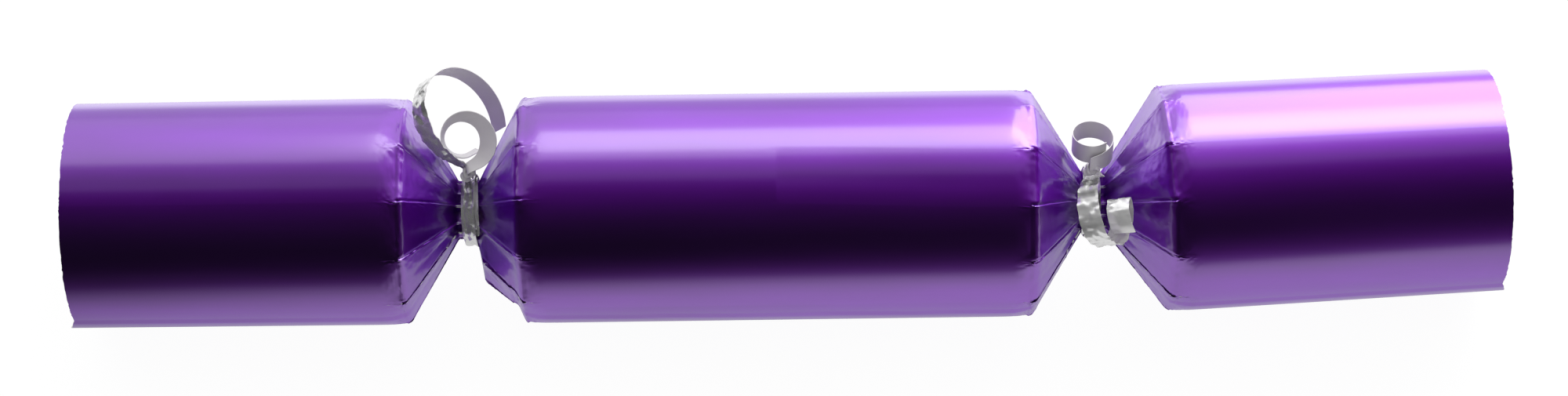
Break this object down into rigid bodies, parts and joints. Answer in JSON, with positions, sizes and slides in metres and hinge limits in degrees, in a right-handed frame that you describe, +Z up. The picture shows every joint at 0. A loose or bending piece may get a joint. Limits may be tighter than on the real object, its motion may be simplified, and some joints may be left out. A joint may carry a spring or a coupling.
{
  "type": "christmas cracker",
  "caption": "Christmas cracker: round foil barrel with tubular ends, gathered necks tied with curling ribbon, pull snap inside; pulls apart.",
  "frame": {"origin": "centre of the flat the middle barrel rests on, under the middle of that barrel", "axes": "+X along the cracker toward the end that is swung aside, +Y to the back, +Z up"},
  "size_m": [0.3108, 0.0522, 0.0528],
  "materials": {
    "foil_wrap": "gloss",
    "tube_card": "matte",
    "ribbon": "polished",
    "snap_card": "matte",
    "sleeve_paper": "matte",
    "charge_dab": "matte",
    "rough_pad": "matte",
    "hat_tissue": "matte",
    "elastic": "matte",
    "motto_paper": "matte",
    "top_wheel": "gloss",
    "top_peg": "gloss"
  },
  "bodies": {
    "barrel": {"centre_wrap": "foil_wrap", "centre_tube": "tube_card", "snap_sleeve": "sleeve_paper", "paper_hat": "hat_tissue", "hat_elastic": "elastic", "motto_slip": "motto_paper"},
    "left_tie": {"left_tie_band": "ribbon", "left_tie_knot": "ribbon", "left_long_curl": "ribbon", "left_short_curl": "ribbon", "snap_strip_left": "snap_card", "snap_charge": "charge_dab"},
    "left_end": {"left_end_wrap": "foil_wrap", "left_end_tube": "tube_card"},
    "right_tie": {"right_tie_band": "ribbon", "right_tie_knot": "ribbon", "right_upper_curl": "ribbon", "right_lower_curl": "ribbon", "snap_strip_right": "snap_card", "snap_friction_pad": "rough_pad"},
    "right_end": {"right_end_wrap": "foil_wrap", "right_end_tube": "tube_card"},
    "gift": {"gift_top": "top_wheel", "gift_peg": "top_peg"}
  },
  "joints": [
    {"name": "left_pull", "type": "slide", "parent": "barrel", "child": "left_tie", "axis": [-1, 0, 0], "range_m": [0, 0.09]},
    {"name": "left_swing", "type": "hinge", "parent": "left_tie", "child": "left_end", "pos_m": [-0.066, 0, 0.02409], "axis": [0, 0, 1], "range_deg": [-6, 6]},
    {"name": "right_pull", "type": "slide", "parent": "barrel", "child": "right_tie", "axis": [1, 0, 0], "range_m": [0, 0.09]},
    {"name": "right_swing", "type": "hinge", "parent": "right_tie", "child": "right_end", "pos_m": [0.0675, 0, 0.02409], "axis": [0, 0, 1], "range_deg": [-8.7, 3.3]},
    {"name": "gift_slide", "type": "slide", "parent": "barrel", "child": "gift", "axis": [1, 0, 0], "range_m": [-0.004, 0.008]}
  ]
}
